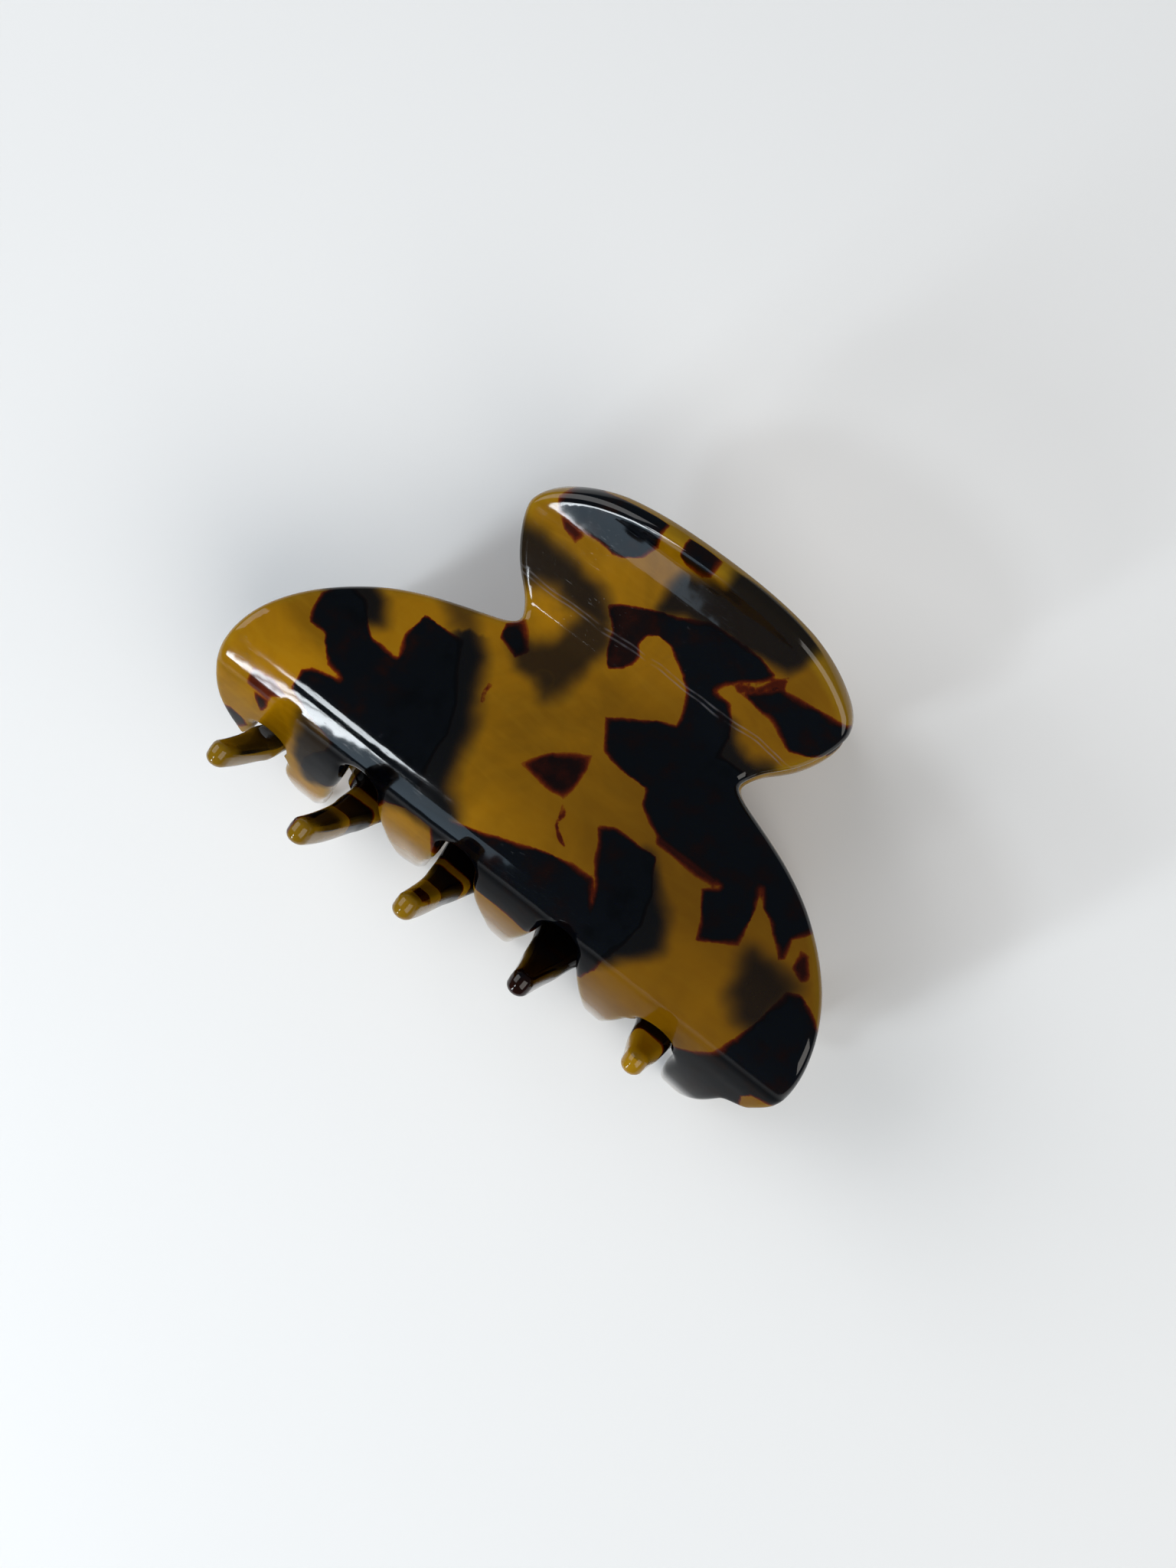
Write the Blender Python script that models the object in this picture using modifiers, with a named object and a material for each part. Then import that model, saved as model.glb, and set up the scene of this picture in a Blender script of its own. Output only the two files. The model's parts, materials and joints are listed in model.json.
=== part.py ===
"""A hair claw: two toothed jaws of bent acetate sheet on a sprung steel hinge, closed and lying down.

Clip axes, in millimetres until each mesh is placed: x along the hinge pin, y up through the thumb
tabs, z out through the upper jaw. The pin's axis is the origin. Each jaw is drawn flat as (across,
along, depth): along runs down the outer face from the middle of the crease, depth in from that face.
"""

from math import cos, pi, radians, sin, tau

import bmesh
import bpy
from mathutils import Matrix, Vector
from numpy import interp

MM = 0.001

# Jaw sheet
SHEET = 3.2
RIM_ROUND = 1.15
CREASE_Y = 2.83  # height of the crease above the pin
CREASE_Z = 6.92  # outer face at the crease, from the plane between the jaws
CREASE_ANGLE = radians(-2)  # lean of the outer face there, where 0 hangs straight down
CREASE_RADIUS = 3.5
CREASE_TURN = radians(25)
TAB_LEG = 10.5
TAB_FLARE_RADIUS = 14.0
TAB_FLARE_TURN = radians(26)
TAB_END = -20.25
BODY_FLAT = 17.35
BELLY_RADIUS = 9.4
BELLY_TURN = radians(81)
TOOTH_CURVE_RADIUS = 62.0
TOOTH_END = 64.2
BEND_STEP = radians(7)

# Teeth, from each jaw's own right to its left: (centre, half width at the shoulder, half width at
# the neck, sideways lean of the tip, end, sag below the common curve)
UPPER_TEETH = (
    (35.0, 4.1, 3.1, -2.0, 64.2, 1.2),
    (19.4, 4.1, 2.7, 0.0, 64.2, 0.1),
    (2.8, 4.2, 2.7, 0.0, 64.2, -0.3),
    (-12.6, 4.0, 2.9, -0.9, 64.2, -0.9),
    (-28.3, 3.8, 3.4, -2.2, 64.2, 0.9),
)
LOWER_TEETH = (
    (34.9, 2.1, 2.1, 0.0, 60.6, 0.0),
    (20.0, 3.0, 2.2, 0.0, 65.4, 0.0),
    (5.1, 3.3, 2.2, 0.0, 62.2, 0.0),
    (-10.9, 3.3, 2.3, 0.0, 57.8, 0.0),
    (-27.4, 2.9, 2.2, 0.0, 54.6, 0.0),
)
SHOULDER_ALONG = 42.0
NECK_ALONG = 49.0
TIP_HALF_WIDTH = 1.5
SAG_TOP = 36.0
SAG_BOTTOM = 50.0
GAP_HALF_WIDTH = 2.6
GAP_TOP = 31.0
RIGHT_GAP_TOP = 36.6
# The gap beyond the last tooth (centre, half width, top, height of its arch), and the two knots of
# the corner after it
UPPER_LEFT_GAP = (-35.0, 2.9, 38.6, 2.9)
LOWER_LEFT_GAP = (-35.0, 4.4, 35.4, 4.4)
UPPER_CORNER = ((-39.5, 45.2), (-43.72, 39.4))
LOWER_CORNER = ((-40.9, 41.0), (-43.4, 37.4))

# Hinge
PIN_RADIUS = 1.0
PIN_HEAD_RADIUS = 1.75
PIN_HEAD = 0.75
PIN_HOLE_RADIUS = 1.1
PLATE = 0.8
EAR_RADIUS = 2.0
UPPER_EAR_X = 7.0
LOWER_EAR_X = 5.8
BASE_HALF_WIDTH = 12.0
BASE_TOP = 2.5
BASE_BOTTOM = 9.3
SEAT_GAP = 0.06
STUD_X = 9.7
STUD_RADIUS = 0.8
STUD_DEPTH = 1.9
STUD_HEAD_RADIUS = 1.45
STUD_HEAD = 0.6
CLEARANCE = 0.12

# Spring
WIRE_RADIUS = 0.45
COIL_RADIUS = 2.1
COIL_HALF_LENGTH = 3.75
LEG_LEAN = radians(40.2)
COIL_END_TURN = 3 * tau - (pi / 2 - LEG_LEAN)
LEG_LENGTH = 11.6
FOOT_LENGTH = 3.0
FOOT_CORNER = 0.7
POINTS_PER_TURN = 16

WELD = 0.002

# Lying on the lower jaw's tab and the upper jaw's tooth tips
LAY_TILT = radians(-3.17)
PIN_HEIGHT = 18.2
PIN_FORWARD = 7.523


def clear_scene():
    for old in list(bpy.data.objects):
        bpy.data.objects.remove(old, do_unlink=True)


def sheet_sections():
    """(length, turn) of each stretch of the outer face from the crease, up the tab and down the jaw."""
    flare = TAB_FLARE_RADIUS * TAB_FLARE_TURN
    half_crease = CREASE_RADIUS * CREASE_TURN
    belly = BELLY_RADIUS * BELLY_TURN
    up = [
        (half_crease, -CREASE_TURN),
        (TAB_LEG, 0.0),
        (flare, -TAB_FLARE_TURN),
        (-TAB_END - half_crease - TAB_LEG - flare, 0.0),
    ]
    tooth = TOOTH_END - half_crease - BODY_FLAT - belly
    down = [
        (half_crease, CREASE_TURN),
        (BODY_FLAT, 0.0),
        (belly, -BELLY_TURN),
        (tooth, -tooth / TOOTH_CURVE_RADIUS),
    ]
    return up, down


def walk(sections, way):
    """Stations (along, point, outward normal) down the outer face for way 1, or up it for way -1."""
    along = 0.0
    angle = CREASE_ANGLE
    point = Vector((CREASE_Y, CREASE_Z))
    found = []
    for length, turn in sections:
        steps = max(1, round(abs(turn) / BEND_STEP))
        for _ in range(steps):
            middle = angle + turn / steps / 2
            chord = length / steps
            if turn:
                radius = length / abs(turn)
                chord = 2 * radius * sin(abs(turn) / steps / 2)
            point = point + way * chord * Vector((-cos(middle), sin(middle)))
            angle += turn / steps
            along += way * length / steps
            found.append((along, point, Vector((sin(angle), cos(angle)))))
    return found


def sheet_stations():
    up, down = sheet_sections()
    start = (0.0, Vector((CREASE_Y, CREASE_Z)), Vector((sin(CREASE_ANGLE), cos(CREASE_ANGLE))))
    return walk(up, -1)[::-1] + [start] + walk(down, 1)


def eased(value, start, end):
    """0 up to the start and 1 from the end on, with a smooth rise between."""
    share = min(max((value - start) / (end - start), 0), 1)
    return share * share * (3 - 2 * share)


def bent(stations, across, along, depth):
    """Where a point of the flat sheet goes once the sheet is bent."""
    last = len(stations) - 2
    index = next((i for i in range(last) if along < stations[i + 1][0]), last)
    from_along, from_point, from_normal = stations[index]
    to_along, to_point, to_normal = stations[index + 1]
    share = (along - from_along) / (to_along - from_along)
    start = from_point - depth * from_normal
    end = to_point - depth * to_normal
    y, z = start.lerp(end, share)
    return Vector((across, y, z))


def knot(across, along, heading, before, after):
    """A point of the outline, its heading (0 along +x, 90 down the sheet) and two handle lengths."""
    direction = Vector((cos(radians(heading)), sin(radians(heading))))
    centre = Vector((across, along))
    return centre, centre - before * direction, centre + after * direction


def mirrored(knots):
    """The same knots on the other side, in the opposite order."""
    flip = Vector((-1, 1))
    turned_over = [(centre * flip, after * flip, before * flip) for centre, before, after in knots]
    return turned_over[::-1]


def side_knots():
    """The right side of the outline, from beside the tab's top to the widest part of the jaw."""
    return [
        knot(20.6, -15.45, 33, 7.4, 1.4),
        knot(24.0, -11.25, 92, 1.9, 1.5),
        knot(21.6, -4.75, 122, 2.95, 2.55),
        knot(17.2, 0.9, 90, 0.9, 0.9),
        knot(19.9, 2.85, 20, 1.0, 4.2),
        knot(33.9, 9.6, 39, 5.6, 4.4),
        knot(41.7, 19.0, 66, 3.9, 3.4),
        knot(44.1, 30.0, 90, 4.2, 3.4),
    ]


def tooth_side(tooth, side, shoulder_along):
    """One side of a tooth, from its shoulder down to its tip, for side 1 or -1 of its centre."""
    centre, shoulder, neck, lean, end, _ = tooth
    tip = end - TIP_HALF_WIDTH
    middle = min(NECK_ALONG, tip - 5.0)
    return [
        knot(centre + side * shoulder, shoulder_along, 90 + side * 12 - 3 * lean, 1.6, 2.0),
        knot(centre + lean / 2 + side * neck, middle, 90 + side * 10 - 3 * lean, 2.4, 2.4),
        knot(centre + lean + side * TIP_HALF_WIDTH, tip, 90 + side * 4 - lean, (tip - middle) / 3, 0.8),
    ]


def reversed_knots(knots):
    """The same knots in the opposite order."""
    return [(centre, after, before) for centre, before, after in reversed(knots)]


def tooth_knots(tooth, left_shoulder):
    """Round a tooth from its right shoulder by the tip to its left shoulder."""
    centre, _, _, lean, end, _ = tooth
    tip = knot(centre + lean, end, 180, 0.83, 0.83)
    right = tooth_side(tooth, 1, SHOULDER_ALONG)
    return right + [tip] + reversed_knots(tooth_side(tooth, -1, left_shoulder))


def gap_knots(centre, half_width, top, height):
    """The round top of a gap, from right to left."""
    across = 0.552 * half_width
    down = 0.552 * height
    return [
        knot(centre + half_width, top + height, -90, 0.8, down),
        knot(centre, top, 180, across, across),
        knot(centre - half_width, top + height, 90, down, 0.8),
    ]


def comb_knots(teeth, left_gap, corner):
    """The toothed edge from right to left: teeth, each with a gap to its left, and the left corner."""
    tops = [RIGHT_GAP_TOP] + [GAP_TOP] * (len(teeth) - 2)
    gaps = []
    for right, left, top in zip(teeth, teeth[1:], tops):
        gaps.append(((right[0] + left[0]) / 2, GAP_HALF_WIDTH, top, GAP_HALF_WIDTH))
    knots = [knot(42.4, 38.6, 112, 4.0, 1.8)]
    for tooth, gap in zip(teeth, gaps + [left_gap]):
        knots += tooth_knots(tooth, max(SHOULDER_ALONG, gap[2] + gap[3] + 1.2))
        knots += gap_knots(*gap)
    (stub, stub_end), (side, side_along) = corner
    knots += [
        knot(stub, stub_end, 170, 1.0, 1.2),
        knot(side, side_along, -104, 2.6, 3.0),
    ]
    return knots


def flat_plate(name, knots, half_depth, round_radius, resolution, round_steps):
    """A flat plate with rounded rims, inside an outline of Bezier knots."""
    data = bpy.data.curves.new(name, "CURVE")
    data.dimensions = "2D"
    data.fill_mode = "BOTH"
    data.resolution_u = resolution
    data.extrude = half_depth - round_radius
    data.bevel_depth = round_radius
    data.bevel_resolution = round_steps
    data.offset = -round_radius
    spline = data.splines.new("BEZIER")
    spline.bezier_points.add(len(knots) - 1)
    spline.use_cyclic_u = True
    for point, (centre, before, after) in zip(spline.bezier_points, knots):
        point.handle_left_type = "FREE"
        point.handle_right_type = "FREE"
        point.co = centre.to_3d()
        point.handle_left = before.to_3d()
        point.handle_right = after.to_3d()
    mesh = evaluated_mesh(bpy.data.objects.new(name, data))
    work = bmesh.new()
    work.from_mesh(mesh)
    bmesh.ops.dissolve_limit(work, angle_limit=radians(0.5), verts=work.verts, edges=work.edges)
    work.to_mesh(mesh)
    work.free()
    return mesh


def evaluated_mesh(source):
    """The welded mesh of an object, which is then removed."""
    if source.name not in bpy.context.scene.collection.objects:
        bpy.context.scene.collection.objects.link(source)
    bpy.context.view_layer.update()
    graph = bpy.context.evaluated_depsgraph_get()
    mesh = bpy.data.meshes.new_from_object(source.evaluated_get(graph))
    bpy.data.objects.remove(source, do_unlink=True)
    work = bmesh.new()
    work.from_mesh(mesh)
    bmesh.ops.remove_doubles(work, verts=work.verts, dist=WELD)
    bmesh.ops.recalc_face_normals(work, faces=work.faces)
    work.to_mesh(mesh)
    work.free()
    return mesh


def combined(mesh, others, operation):
    """The mesh after one exact Boolean with each of the others in turn."""
    body = bpy.data.objects.new("body", mesh)
    bpy.context.scene.collection.objects.link(body)
    helpers = []
    for other in others:
        helper = bpy.data.objects.new("helper", other)
        bpy.context.scene.collection.objects.link(helper)
        helpers.append(helper)
        step = body.modifiers.new("step", "BOOLEAN")
        step.operation = operation
        step.solver = "EXACT"
        step.object = helper
    result = evaluated_mesh(body)
    for helper in helpers:
        bpy.data.objects.remove(helper, do_unlink=True)
    return result


def cylinder(radius, bottom, top, place, sides=24):
    """A closed cylinder along its z axis from bottom to top, moved by the matrix."""
    mesh = bpy.data.meshes.new("cylinder")
    work = bmesh.new()
    middle = Matrix.Translation((0, 0, (bottom + top) / 2))
    bmesh.ops.create_cone(
        work,
        cap_ends=True,
        segments=sides,
        radius1=radius,
        radius2=radius,
        depth=top - bottom,
        matrix=place @ middle,
    )
    work.to_mesh(mesh)
    work.free()
    return mesh


def turned(name, profile, steps=24):
    """A solid turned about its z axis from (radius, height) points, listed upwards."""
    mesh = bpy.data.meshes.new(name)
    points = [(radius, 0, height) for radius, height in profile]
    mesh.from_pydata(points, [(i, i + 1) for i in range(len(points) - 1)], [])
    body = bpy.data.objects.new(name, mesh)
    screw = body.modifiers.new("screw", "SCREW")
    screw.steps = steps
    screw.render_steps = steps
    screw.use_merge_vertices = True
    screw.merge_threshold = 0.0001
    return evaluated_mesh(body)


def bend_sheet(mesh, stations, teeth):
    """Cuts the flat plate across at each station and bends it. Each tooth sags by its own amount."""
    work = bmesh.new()
    work.from_mesh(mesh)
    for along, _, _ in stations[1:-1]:
        parts = work.verts[:] + work.edges[:] + work.faces[:]
        bmesh.ops.bisect_plane(
            work, geom=parts, dist=WELD, plane_co=(0, along, 0), plane_no=(0, 1, 0)
        )
    centres = [tooth[0] for tooth in reversed(teeth)]
    sags = [tooth[5] for tooth in reversed(teeth)]
    for vert in work.verts:
        across, along, offset = vert.co
        vert.co = bent(stations, across, along, SHEET / 2 - offset)
        vert.co.y -= interp(across, centres, sags) * eased(along, SAG_TOP, SAG_BOTTOM)
    bmesh.ops.recalc_face_normals(work, faces=work.faces)
    work.to_mesh(mesh)
    work.free()
    return mesh


def jaw_mesh(stations, seat, teeth, left_gap, corner):
    """One jaw: the bent sheet, with a blind hole for each stud."""
    right = side_knots()
    top = knot(0, TAB_END, 0, 7.4, 7.4)
    outline = [top] + right + comb_knots(teeth, left_gap, corner) + mirrored(right)
    sheet = bend_sheet(flat_plate("jaw", outline, SHEET / 2, RIM_ROUND, 5, 1), stations, teeth)
    radius = STUD_RADIUS + CLEARANCE
    drills = [cylinder(radius, -STUD_DEPTH - CLEARANCE, 1, seat @ spot) for spot in stud_spots()]
    return combined(sheet, drills, "DIFFERENCE")


def inner_seat(stations):
    """Frame of the flat inner face under the bracket: x across, y down the sheet, z off the face."""
    down = (bent(stations, 0, BASE_BOTTOM, SHEET) - bent(stations, 0, BASE_TOP, SHEET)).normalized()
    across = Vector((1, 0, 0))
    frame = Matrix((across, down, across.cross(down))).transposed().to_4x4()
    frame.translation = bent(stations, 0, (BASE_TOP + BASE_BOTTOM) / 2, SHEET)
    return frame


def stud_spots():
    """Each stud's place on the seat."""
    return [Matrix.Translation((side * STUD_X, 0, 0)) for side in (-1, 1)]


def rounded_rectangle(half_width, half_height, corner):
    """Knots of a rounded rectangle about the origin."""
    handle = 0.552 * corner
    knots = []
    for quarter in range(4):
        side, other = (half_width, half_height) if quarter % 2 == 0 else (half_height, half_width)
        turn = Matrix.Rotation(quarter * pi / 2, 2)
        rise = knot(side, other - corner, 90, 0.4, handle)
        level = knot(side - corner, other, 180, handle, 0.4)
        knots += [tuple(turn @ point for point in ends) for ends in (rise, level)]
    return knots


def ear(seat, ear_x):
    """A plate across the pin: a round boss tapering to a foot sunk in the bracket's base."""
    half_height = (BASE_BOTTOM - BASE_TOP) / 2
    sunk = SEAT_GAP + PLATE / 2
    angles = [step * tau / 24 for step in range(24)]
    rim = [Vector((0, EAR_RADIUS * cos(angle), EAR_RADIUS * sin(angle))) for angle in angles]
    feet = [seat @ Vector((0, along, sunk)) for along in (0.4 - half_height, half_height - 1.4)]
    mesh = bpy.data.meshes.new("ear")
    work = bmesh.new()
    for side in (-1, 1):
        for point in rim + feet:
            work.verts.new(point + Vector((ear_x + side * PLATE / 2, 0, 0)))
    hull = bmesh.ops.convex_hull(work, input=work.verts)
    inside = [part for part in hull["geom_interior"] if isinstance(part, bmesh.types.BMVert)]
    bmesh.ops.delete(work, geom=inside, context="VERTS")
    bmesh.ops.recalc_face_normals(work, faces=work.faces)
    work.to_mesh(mesh)
    work.free()
    return mesh


def bracket_mesh(seat, ear_x):
    """A stamped hinge plate: a base on the jaw's inner face, and two ears that carry the pin."""
    outline = rounded_rectangle(BASE_HALF_WIDTH, (BASE_BOTTOM - BASE_TOP) / 2, 1.6)
    base = flat_plate("base", outline, PLATE / 2, 0.1, 4, 0)
    base.transform(seat @ Matrix.Translation((0, 0, SEAT_GAP + PLATE / 2)))
    whole = combined(base, [ear(seat, side * ear_x) for side in (-1, 1)], "UNION")
    along_x = Matrix.Rotation(pi / 2, 4, "Y")
    drills = [cylinder(PIN_HOLE_RADIUS, -UPPER_EAR_X - 2, UPPER_EAR_X + 2, along_x)]
    drills += [cylinder(STUD_RADIUS + CLEARANCE, -1, 2, seat @ spot) for spot in stud_spots()]
    return combined(whole, drills, "DIFFERENCE")


def stud_mesh():
    """A short rivet with a low domed head, its shank sunk in the sheet."""
    under_head = SEAT_GAP + PLATE + SEAT_GAP
    profile = [(0, -STUD_DEPTH), (STUD_RADIUS - 0.2, -STUD_DEPTH), (STUD_RADIUS, 0.2 - STUD_DEPTH)]
    profile += [(STUD_RADIUS, under_head), (STUD_HEAD_RADIUS, under_head)]
    for angle in (0, 30, 60):
        rise = 0.15 + 0.45 * sin(radians(angle))
        profile += [(STUD_HEAD_RADIUS * cos(radians(angle)), under_head + rise)]
    profile += [(0, under_head + STUD_HEAD)]
    return turned("stud", profile)


def pin_mesh():
    """The hinge pin along z: a domed head at one end, and the other end peened over."""
    ledge = UPPER_EAR_X + PLATE / 2 + CLEARANCE
    tip = ledge + PIN_HEAD
    profile = [(0, -tip), (PIN_HEAD_RADIUS - 0.5, -tip), (PIN_HEAD_RADIUS, 0.4 - tip)]
    profile += [(PIN_HEAD_RADIUS, -ledge), (PIN_RADIUS, -ledge), (PIN_RADIUS, ledge)]
    profile += [(PIN_HEAD_RADIUS, ledge)]
    for angle in (0, 30, 60):
        rise = 0.6 * sin(radians(angle))
        profile += [(PIN_HEAD_RADIUS * cos(radians(angle)), tip - 0.6 + rise)]
    profile += [(0, tip)]
    return turned("pin", profile)


def spring_path():
    """The wire's centre line, from the lower jaw's foot round the coil to the upper jaw's foot."""
    half = []
    steps = round(COIL_END_TURN / tau * POINTS_PER_TURN)
    for step in range(1, steps + 1):
        turn = COIL_END_TURN * step / steps
        across = COIL_HALF_LENGTH * step / steps
        half.append(Vector((across, COIL_RADIUS * cos(turn), COIL_RADIUS * sin(turn))))
    lean = Vector((0, cos(LEG_LEAN), sin(LEG_LEAN)))
    leg_end = half[-1] + LEG_LENGTH * lean
    for share in range(5):
        bend = share / 4 * pi / 2
        turned_in = sin(bend) * lean + (1 - cos(bend)) * Vector((1, 0, 0))
        half.append(leg_end + FOOT_CORNER * turned_in)
    half.append(half[-1] + Vector((FOOT_LENGTH, 0, 0)))
    other = [Vector((-point.x, point.y, -point.z)) for point in reversed(half)]
    return other + [Vector((0, COIL_RADIUS, 0))] + half


def spring_mesh():
    data = bpy.data.curves.new("spring", "CURVE")
    data.dimensions = "3D"
    data.bevel_depth = WIRE_RADIUS
    data.bevel_resolution = 2
    data.use_fill_caps = True
    path = spring_path()
    spline = data.splines.new("POLY")
    spline.points.add(len(path) - 1)
    for point, spot in zip(spline.points, path):
        point.co = spot.to_4d()
    return evaluated_mesh(bpy.data.objects.new("spring", data))


def material(name, colour, roughness, metallic):
    made = bpy.data.materials.new(name)
    made.use_nodes = True
    shader = made.node_tree.nodes["Principled BSDF"]
    shader.inputs["Base Color"].default_value = (*colour, 1)
    shader.inputs["Roughness"].default_value = roughness
    shader.inputs["Metallic"].default_value = metallic
    return made


def empty(name, parent, matrix):
    holder = bpy.data.objects.new(name, None)
    holder.parent = parent
    holder.matrix_local = matrix
    bpy.context.scene.collection.objects.link(holder)
    return holder


def add_part(name, mesh, look, parent, collection, matrix=None):
    """One sub-part, from a mesh in millimetres that may be shared with a twin."""
    own = mesh.copy()
    own.name = name
    if matrix is not None:
        own.transform(matrix)
    own.transform(Matrix.Scale(MM, 4))
    own.materials.clear()
    own.materials.append(look)
    own.shade_smooth()
    own.set_sharp_from_angle(angle=radians(50))
    part = bpy.data.objects.new(name, own)
    part.parent = parent
    collection.objects.link(part)


def main():
    clear_scene()
    collection = bpy.data.collections.new("hair_claw")
    bpy.context.scene.collection.children.link(collection)
    acetate = material("tortoiseshell_acetate", (0.28, 0.12, 0.01), 0.12, 0.0)
    steel = material("nickel_plated_steel", (0.62, 0.60, 0.57), 0.25, 1.0)
    wire = material("spring_steel", (0.50, 0.50, 0.50), 0.3, 1.0)

    resting = Matrix.Translation((0, PIN_FORWARD * MM, PIN_HEIGHT * MM))
    clip = empty("clip", None, resting @ Matrix.Rotation(LAY_TILT, 4, "X"))
    upper_half = empty("upper_half", clip, Matrix.Identity(4))
    lower_half = empty("lower_half", clip, Matrix.Rotation(pi, 4, "Y"))

    stations = sheet_stations()
    seat = inner_seat(stations)
    stud = stud_mesh()
    upper = jaw_mesh(stations, seat, UPPER_TEETH, UPPER_LEFT_GAP, UPPER_CORNER)
    lower = jaw_mesh(stations, seat, LOWER_TEETH, LOWER_LEFT_GAP, LOWER_CORNER)
    for half, jaw, parent, ear_x in (
        ("upper", upper, upper_half, UPPER_EAR_X),
        ("lower", lower, lower_half, LOWER_EAR_X),
    ):
        add_part(f"{half}_jaw", jaw, acetate, parent, collection)
        add_part(f"{half}_hinge_bracket", bracket_mesh(seat, ear_x), steel, parent, collection)
        for side, spot in zip(("left", "right"), stud_spots()):
            add_part(f"{half}_stud_{side}", stud, steel, parent, collection, seat @ spot)
    add_part("hinge_pin", pin_mesh(), steel, clip, collection, Matrix.Rotation(pi / 2, 4, "Y"))
    add_part("torsion_spring", spring_mesh(), wire, clip, collection)


main()
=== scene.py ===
"""Looks of a hair claw: two toothed jaws of polished tortoiseshell acetate on a sprung steel hinge.

Clip axes, in millimetres: x along the hinge pin, y up through the thumb tabs, z out through the
upper jaw, with the pin's axis as the origin. Each jaw is drawn flat as (across, along, depth):
along runs down the outer face from the middle of the crease, and depth runs in from that face.
"""

import json
from math import atan2, ceil, cos, pi, radians, sin, tau

import bpy
import numpy as np
from mathutils import Euler, Matrix, Vector
from mathutils.geometry import delaunay_2d_cdt


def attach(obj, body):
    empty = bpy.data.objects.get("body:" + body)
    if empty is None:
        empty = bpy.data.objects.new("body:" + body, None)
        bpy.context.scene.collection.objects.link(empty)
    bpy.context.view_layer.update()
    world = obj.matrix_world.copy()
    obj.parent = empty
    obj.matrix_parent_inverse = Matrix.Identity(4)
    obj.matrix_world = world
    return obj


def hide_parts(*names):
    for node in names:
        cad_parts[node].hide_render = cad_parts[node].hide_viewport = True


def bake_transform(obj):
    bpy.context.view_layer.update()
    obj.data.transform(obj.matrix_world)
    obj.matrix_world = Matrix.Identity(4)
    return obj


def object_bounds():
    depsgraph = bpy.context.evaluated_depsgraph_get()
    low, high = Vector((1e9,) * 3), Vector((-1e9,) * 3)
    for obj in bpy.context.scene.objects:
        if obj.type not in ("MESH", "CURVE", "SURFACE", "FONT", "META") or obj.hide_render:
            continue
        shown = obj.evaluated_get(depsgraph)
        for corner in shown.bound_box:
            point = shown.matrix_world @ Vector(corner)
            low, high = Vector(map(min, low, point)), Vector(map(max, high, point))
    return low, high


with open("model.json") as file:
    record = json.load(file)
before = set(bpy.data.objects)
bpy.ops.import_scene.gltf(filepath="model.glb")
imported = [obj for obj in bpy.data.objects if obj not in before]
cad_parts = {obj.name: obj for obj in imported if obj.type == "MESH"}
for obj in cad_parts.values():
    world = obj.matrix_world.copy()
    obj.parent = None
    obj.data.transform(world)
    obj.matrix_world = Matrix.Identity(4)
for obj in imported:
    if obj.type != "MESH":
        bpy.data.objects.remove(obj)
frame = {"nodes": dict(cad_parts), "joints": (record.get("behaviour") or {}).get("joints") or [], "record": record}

CAD_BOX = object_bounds()
MM = 0.001
BOX_MARGIN = 0.004 * MM

# Jaw sheet
SHEET = 3.2
RIM_ROUND = 1.15
RIM_STEPS = 5
CREASE_Y = 2.83
CREASE_Z = 6.92
CREASE_ANGLE = radians(-2)
CREASE_RADIUS = 3.5
CREASE_TURN = radians(25)
TAB_LEG = 10.5
TAB_FLARE_RADIUS = 14.0
TAB_FLARE_TURN = radians(26)
TAB_END = -20.25
TAB_TOP_HANDLE = 7.4
BODY_FLAT = 17.35
BELLY_RADIUS = 9.4
BELLY_TURN = radians(81)
TOOTH_CURVE_RADIUS = 62.0
TOOTH_END = 66.0
BODY_ANGLE = CREASE_ANGLE + CREASE_TURN

# Teeth, from each jaw's own right to its left: (centre, half width at the shoulder, half width at
# the neck, sideways lean of the tip, end, sag below the common curve)
UPPER_TEETH = (
    (35.0, 4.1, 3.1, -2.0, 64.2, 1.2),
    (19.4, 4.1, 2.7, 0.0, 64.2, 0.1),
    (2.8, 4.2, 2.7, 0.0, 64.2, -0.3),
    (-12.6, 4.0, 2.9, -0.9, 64.2, -0.9),
    (-28.3, 3.8, 3.4, -2.2, 64.2, 0.9),
)
LOWER_TEETH = (
    (34.9, 2.1, 2.1, 0.0, 60.6, 0.0),
    (20.0, 3.0, 2.2, 0.0, 65.4, 0.0),
    (5.1, 3.3, 2.2, 0.0, 62.2, 0.0),
    (-10.9, 3.3, 2.3, 0.0, 57.8, 0.0),
    (-27.4, 2.9, 2.2, 0.0, 54.6, 0.0),
)
SHOULDER_ALONG = 42.0
NECK_ALONG = 49.0
TIP_HALF_WIDTH = 1.5
TIP_HANDLE = 0.83
SHORTEST_TOOTH_SIDE = 5.0
SAG_TOP = 36.0
SAG_BOTTOM = 50.0
GAP_HALF_WIDTH = 2.6
GAP_TOP = 31.0
RIGHT_GAP_TOP = 36.6
# Left gaps: (centre, half width, top, height)
UPPER_LEFT_GAP = (-35.0, 2.9, 38.6, 2.9)
LOWER_LEFT_GAP = (-35.0, 4.4, 35.4, 4.4)
# Left corners: the stub beside the gap, then the side above it
UPPER_CORNER = ((-39.5, 45.2), (-43.72, 39.4))
LOWER_CORNER = ((-40.9, 41.0), (-43.4, 37.4))

# Handle length of a quarter circle of radius 1, as a Bezier curve
CIRCLE_HANDLE = 0.552

# Mesh
STATION_TURN = radians(0.5)
RIM_SPACING = 0.42
GRID_ACROSS = 0.5
GRID_ALONG = 0.46
CREASE_ROWS = 0.22
BELLY_ROWS = 0.3
GRID_MARGIN = 0.28
GRID_EDGE = 45.0
BEND_BORDER = 0.5
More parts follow.
